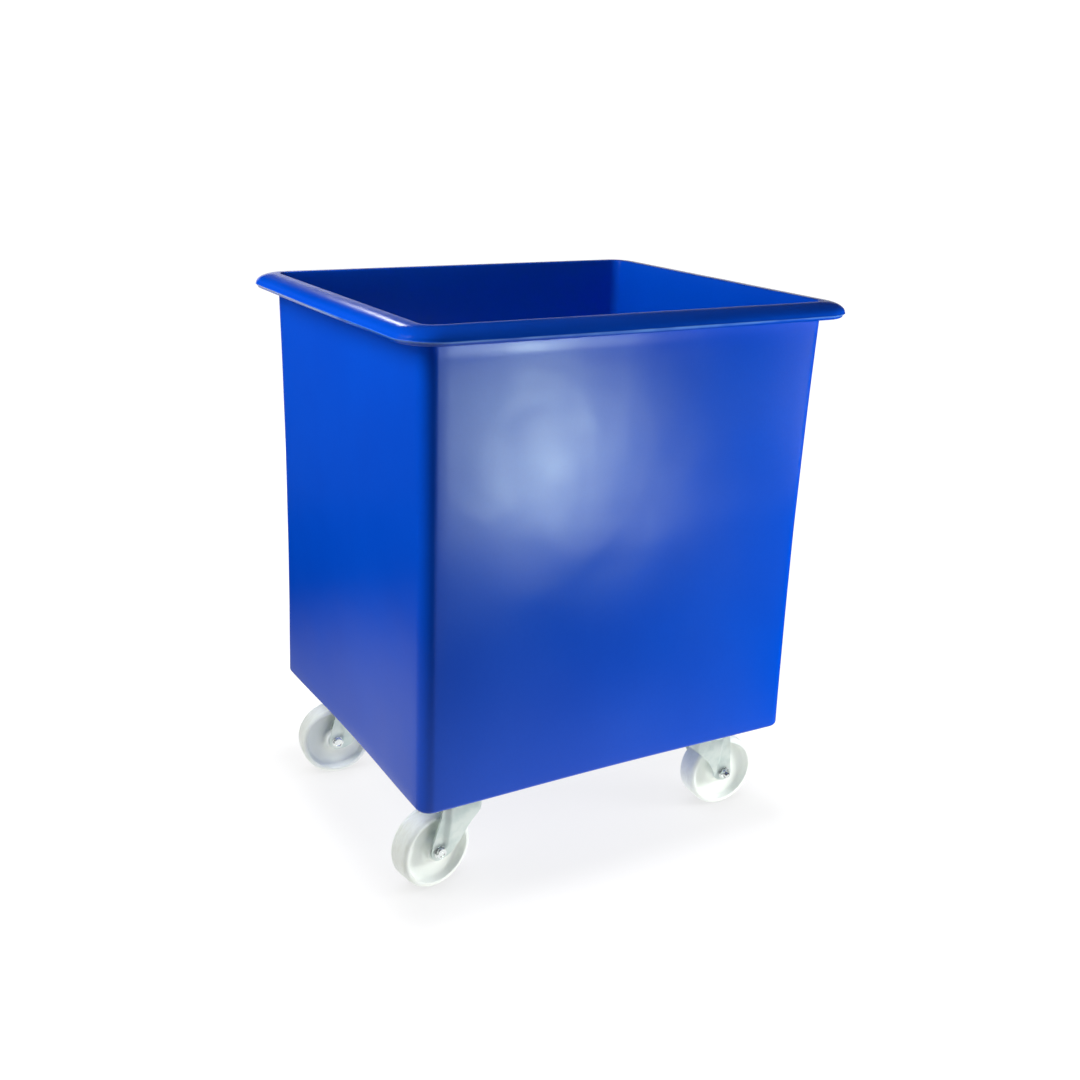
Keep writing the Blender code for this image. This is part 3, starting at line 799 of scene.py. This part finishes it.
def add_castor(castor, meshes):
    swivel = castor_frame(castor)[0]
    upright = Matrix.Translation(swivel.to_translation())
    axle = swivel @ Matrix.Translation((TRAIL, 0, AXLE_Z))
    add_parts(castor, FIXED_PARTS, meshes, "tub", upright)
    add_parts(castor, SWIVEL_PARTS, meshes, f"{castor}_swivel", swivel)
    add_parts(castor, AXLE_PARTS, meshes, f"{castor}_swivel", axle)
    add_parts(castor, WHEEL_PARTS, meshes, f"{castor}_wheel", axle)
    for number in range(1, 5):
        bolt = f"{castor}_plate_bolt_{number}"
        low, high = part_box(bolt)
        place = Matrix.Translation(((low.x + high.x) / 2, (low.y + high.y) / 2, 0))
        slot = "fastener_steel"
        name = f"{castor}_deck_bolt_{number}"
        add_piece(name, meshes["plate_bolt"], looks[slot], "tub", bolt, place)


add_piece("tub_shell", new_mesh("tub", build_tub, 60), looks["tub"], "tub", "tub")
shared_meshes = castor_meshes()
for castor_name in CASTORS:
    add_castor(castor_name, shared_meshes)


# ---------------------------------------------------------------- floor, light and camera
FLOOR_GLOW = (0.81, 1.05)  # the floor's glow near the tub, dimmed there as painted shadow, and away from it
FLOOR_RADIUS = 30.0

# uneven glows of upright cards, as (brightness, (across, up), (width, height)) blobs
SOFTBOX_Y = -1.9
SOFTBOX_TINT = (0.80, 1.0, 0.87)
SOFTBOX_BLOBS = (
    (24.0, (0.92, 0.02), (0.14, 0.17)),
    (4.0, (1.00, 0.04), (0.19, 0.24)),
    (3.0, (0.62, 0.18), (0.25, 0.30)),
    (2.8, (0.84, -0.28), (0.36, 0.30)),
    (1.2, (0.85, -0.75), (0.46, 0.42)),
)
RIM_LIGHT_BLOBS = (
    (0.30, (0.60, 1.52), (0.32, 0.25)),
    (12.0, (0.60, 1.70), (0.10, 0.08)),
    (1.0, (0.50, 1.57), (0.10, 0.10)),
)


def glowing_look(name, strength, tint=(1, 1, 1)):
    """A look that only glows; strength is a number or a node's output of the look it is made in."""
    look = new_look(name)
    glow = strength(look) if callable(strength) else strength
    dress(look, Base_Color=(0, 0, 0, 1), Roughness=1.0, Specular_IOR_Level=0.0)
    dress(look, Emission_Color=(*tint, 1), Emission_Strength=glow)
    return look


def blob_glow(look, blobs):
    total = 0.0
    for brightness, (across, up), (width, height) in blobs:
        spot = node(look, "ShaderNodeVectorMath", {0: place_of(look), 1: (across, 0, up)}, operation="SUBTRACT")
        scale = (1 / width, 0, 1 / height)
        spot = node(look, "ShaderNodeVectorMath", {0: spot.outputs["Vector"], 1: scale}, operation="MULTIPLY")
        inputs = {0: spot.outputs["Vector"], 1: spot.outputs["Vector"]}
        square = node(look, "ShaderNodeVectorMath", inputs, operation="DOT_PRODUCT").outputs["Value"]
        blob = maths(look, "EXPONENT", maths(look, "MULTIPLY", square, -1.0))
        total = maths(look, "ADD", maths(look, "MULTIPLY", blob, brightness), total)
    return total


def softbox_glow(look):
    return blob_glow(look, SOFTBOX_BLOBS)


def rim_light_glow(look):
    return blob_glow(look, RIM_LIGHT_BLOBS)


def floor_look():
    """Pale paint that glows, with painted shadow: the glow is dimmer under the tub and, through ambient occlusion,
    close about whatever stands on it.
    """
    look = new_look("pale_floor")
    tone = blended(look, grain(look, 1.5), (0.09, 0.09, 0.09), (0.11, 0.11, 0.11))
    # painted shadow: the glow dims under the tub, and by ambient occlusion close about the wheels and whatever
    # else stands on the floor
    glow = ranged(look, out_from_wall(look), -0.02, 0.12, *FLOOR_GLOW)
    open_sky = node(look, "ShaderNodeAmbientOcclusion", {"Distance": 0.07}).outputs["AO"]
    glow = maths(look, "MULTIPLY", glow, ranged(look, open_sky, 0.2, 0.9, 0.84, 1.0))
    dress(look, Base_Color=tone, Roughness=0.8, Emission_Color=(1, 1, 1, 1), Emission_Strength=glow)
    return look


def floor_sheen_glow(look):
    """The floor's brightness in reflections: strongest under the tub, fading out over a metre."""
    under = ranged(look, out_from_wall(look), 0.04, 0.11, 0.45, 0.0)
    place = node(look, "ShaderNodeVectorMath", {0: place_of(look), 1: (0.25, 0.10, 0)}, operation="ADD")
    reach = node(look, "ShaderNodeVectorMath", {0: place.outputs["Vector"]}, operation="LENGTH")
    return maths(look, "ADD", ranged(look, reach.outputs["Value"], 0.35, 1.05, 0.5, 0.0), under)


def stage_piece(name, build, look, camera=True, diffuse=True, glossy=True):
    piece = linked(name, new_mesh(name, build))
    piece.data.materials.append(look)
    piece.visible_camera = camera
    piece.visible_diffuse = diffuse
    piece.visible_glossy = glossy
    piece.visible_shadow = camera and diffuse


def flat_disc(radius, z):
    return lambda bm: bm.faces.new([bm.verts.new(point) for point in circle(radius, z, 128)])


def upright_card(low_x, high_x, y, low_z, high_z):
    corners = ((low_x, low_z), (high_x, low_z), (high_x, high_z), (low_x, high_z))
    return lambda bm: bm.faces.new([bm.verts.new((x, y, z)) for x, z in corners])


def build_dome(bm):
    bmesh.ops.create_uvsphere(bm, u_segments=64, v_segments=32, radius=FLOOR_RADIUS)


def make_stage():
    """A pale floor, a plain white dome behind everything, and cards that show only in reflections."""
    stage_piece("floor", flat_disc(FLOOR_RADIUS, 0), floor_look(), diffuse=False, glossy=False)
    white = glowing_look("white_backdrop", 1.1)
    stage_piece("backdrop", build_dome, white, diffuse=False, glossy=False)
    sheen = glowing_look("floor_sheen", floor_sheen_glow)
    stage_piece("floor_sheen", flat_disc(1.5, 0.001), sheen, camera=False, diffuse=False)
    softbox = glowing_look("softbox", softbox_glow, SOFTBOX_TINT)
    stage_piece("softbox", upright_card(-0.1, 1.9, SOFTBOX_Y, -1.7, 0.9), softbox, camera=False, diffuse=False)
    back = glowing_look("back_reflector", 0.8)
    stage_piece("back_reflector", upright_card(-0.4, 4.0, 2.5, -0.8, 1.15), back, camera=False, diffuse=False)
    rim_light = glowing_look("rim_reflector", rim_light_glow)
    stage_piece("rim_reflector", upright_card(-0.6, 1.6, 2.51, 1.2, 2.3), rim_light, camera=False, diffuse=False)


def soft_light(name, place, aim, size, radiance):
    """A square light of a given size and brightness that looks at a point, and leaves no highlight."""
    lamp = bpy.data.lights.new(name, "AREA")
    lamp.size = size
    lamp.energy = radiance * pi * size**2
    holder = linked(name, lamp)
    direction = Vector(aim) - Vector(place)
    holder.matrix_world = Matrix.Translation(place) @ direction.to_track_quat("-Z", "Y").to_matrix().to_4x4()
    holder.visible_camera = False
    holder.visible_glossy = False


def make_world(strength):
    world = bpy.data.worlds.new("studio")
    world.use_nodes = True
    world.node_tree.nodes["Background"].inputs["Color"].default_value = (1, 1, 1, 1)
    world.node_tree.nodes["Background"].inputs["Strength"].default_value = strength
    bpy.context.scene.world = world


def make_camera():
    eye = Vector((-0.8095, -1.3542, 0.9043))
    yaw, pitch, roll = -0.50914, 0.34312, 0.02833
    lens = bpy.data.cameras.new("camera")
    lens.sensor_width = 36
    lens.lens = 41.724
    lens.shift_x = 0.04165
    lens.shift_y = 0.0153
    camera = linked("camera", lens)
    turn = Matrix.Rotation(yaw, 4, "Z") @ Matrix.Rotation(pi / 2 - pitch, 4, "X") @ Matrix.Rotation(roll, 4, "Z")
    camera.matrix_world = Matrix.Translation(eye) @ turn
    bpy.context.scene.camera = camera


make_stage()
make_world(0.02)
soft_light("side_key", (-1.3, 0.1, 1.5), (0, 0, 0.5), 0.8, 9.8)
soft_light("side_low", (-1.2, 0.1, 0.78), (0, 0, 0.6), 0.3, 16.0)
soft_light("front_key", (0.92, -0.66, 0.46), (0.0, -0.22, 0.40), 0.4, 23.0)
soft_light("low_fill", (-0.05, -1.1, 0.12), (0, -0.2, 0.25), 0.4, 3.0)
soft_light("back_fill", (0.6, 1.9, 0.4), (0, 0.2, 0.4), 0.9, 6.0)
soft_light("sky_fill", (0, 0, 3.0), (0, 0, 0), 4.0, 0.19)
soft_light("inside_fill", (0.05, -0.12, 0.45), (-0.25, 0.25, 0.45), 0.2, 1.2)
soft_light("floor_bounce", (0.08, -0.12, -0.001), (0.08, -0.12, 1), 0.8, 1.05)
make_camera()
bpy.context.scene.view_settings.view_transform = "Standard"
